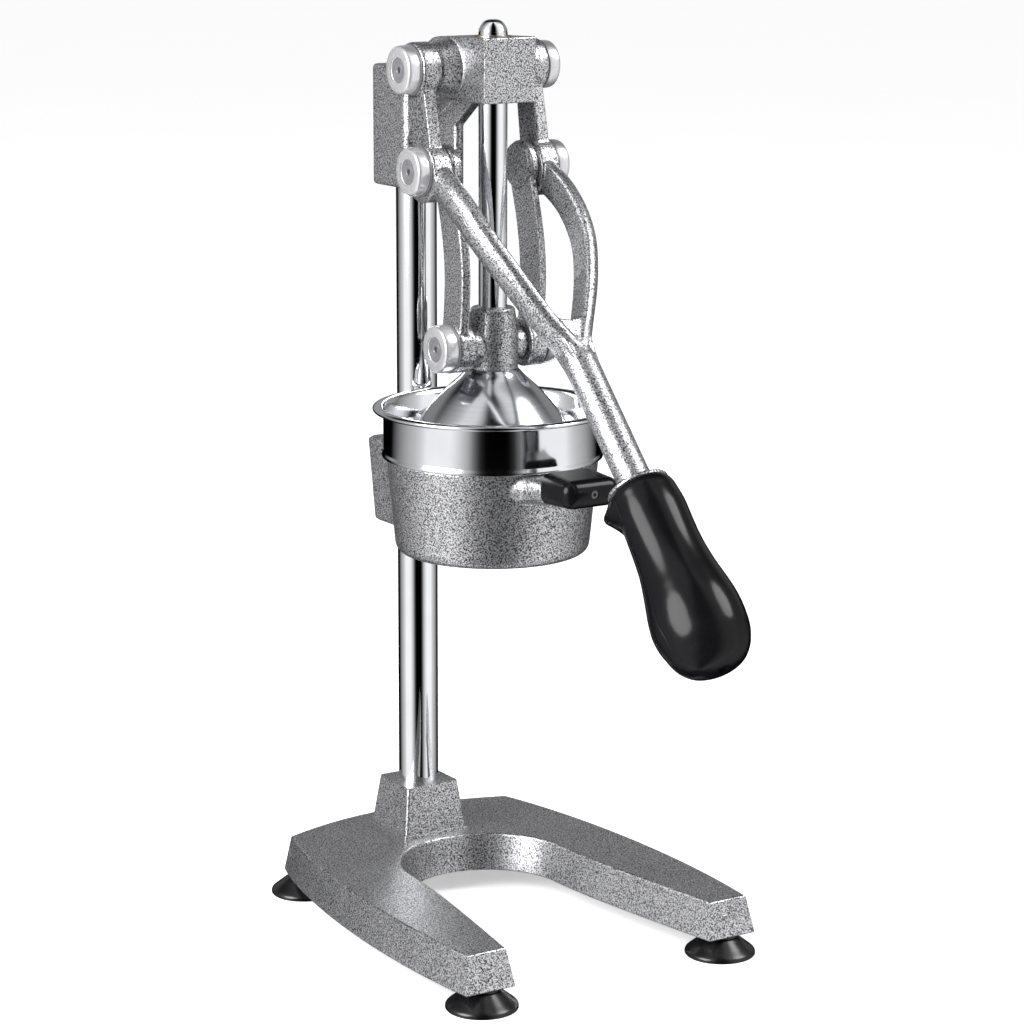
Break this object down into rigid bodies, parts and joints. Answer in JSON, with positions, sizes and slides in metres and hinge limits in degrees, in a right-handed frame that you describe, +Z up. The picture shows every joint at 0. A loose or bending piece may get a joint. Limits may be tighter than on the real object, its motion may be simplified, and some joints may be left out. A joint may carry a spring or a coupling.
{
  "type": "lever citrus juice press",
  "caption": "Counter-top lever press: a handled fork swings down and drives a ram with a steel bell over a ribbed strainer cone in a juice bowl, held on a column above a U-shaped base.",
  "frame": {"origin": "middle of the whole press's footprint, on the surface that its feet stand on", "axes": "+Z is up along the column, -Y is the front, where the lever and the open side of the base face, and +X is to the right of a user who faces the front"},
  "size_m": [0.1866, 0.3322, 0.484],
  "materials": {
    "speckled_paint": "grey speckled powder paint on castings, satin",
    "chrome": "bright chrome plate",
    "polished_steel": "polished stainless steel",
    "bell_steel": "polished stainless sheet with faint turning lines",
    "plain_steel": "turned steel, satin",
    "dark_steel": "blackened screw steel",
    "bronze": "bearing bronze",
    "black_plastic": "gloss black moulding",
    "rubber": "black suction rubber"
  },
  "bodies": {
    "stand": {"base_casting": "speckled_paint", "suction_foot_front_left": "rubber", "suction_foot_front_right": "rubber", "suction_foot_rear_left": "rubber", "suction_foot_rear_right": "rubber", "foot_studs": "plain_steel", "column_tube": "chrome", "column_insert": "plain_steel", "column_bolt": "plain_steel", "head_bracket": "speckled_paint", "head_set_screws": "dark_steel", "ram_bush_upper": "bronze", "ram_bush_lower": "bronze", "head_plug": "speckled_paint", "head_pin_left": "plain_steel", "head_pin_right": "plain_steel", "head_cap_left": "polished_steel", "head_cap_right": "polished_steel", "head_washer_left": "plain_steel", "head_washer_right": "plain_steel", "cup_holder": "speckled_paint", "holder_set_screws": "dark_steel", "holder_handle": "black_plastic", "holder_handle_screw": "plain_steel", "juice_bowl": "polished_steel", "bowl_band": "polished_steel", "strainer_cone": "plain_steel"},
    "ram": {"ram_rod": "chrome", "ram_collar": "speckled_paint", "collar_set_screw": "dark_steel", "press_bell": "bell_steel", "bell_nut": "plain_steel", "collar_pin_left": "plain_steel", "collar_pin_right": "plain_steel", "collar_cap_left": "polished_steel", "collar_cap_right": "polished_steel", "collar_washer_left": "plain_steel", "collar_washer_right": "plain_steel"},
    "links": {"link_left": "speckled_paint", "link_right": "speckled_paint"},
    "lever": {"lever_yoke": "speckled_paint", "middle_pin_left": "plain_steel", "middle_pin_right": "plain_steel", "middle_cap_left": "polished_steel", "middle_cap_right": "polished_steel", "middle_washer_left": "plain_steel", "middle_washer_right": "plain_steel", "lever_grip": "black_plastic", "grip_screw": "plain_steel"}
  },
  "joints": [
    {"name": "lever_swing", "type": "hinge", "parent": "stand", "child": "lever", "pos_m": [0, 0.06825, 0.4586], "axis": [-1, 0, 0], "range_deg": [0, 105]},
    {"name": "ram_slide", "type": "slide", "parent": "stand", "child": "ram", "axis": [0, 0, 1], "range_m": [0, 0.07748]},
    {"name": "link_swing", "type": "hinge", "parent": "ram", "child": "links", "pos_m": [0, 0.04965, 0.31592], "axis": [1, 0, 0], "range_deg": [0, 23.72]}
  ],
  "couplings": [
    {"joint": "ram_slide", "follows": "lever_swing", "m_per_rad": 0.042275},
    {"joint": "link_swing", "follows": "lever_swing", "ratio": 0.22581}
  ]
}
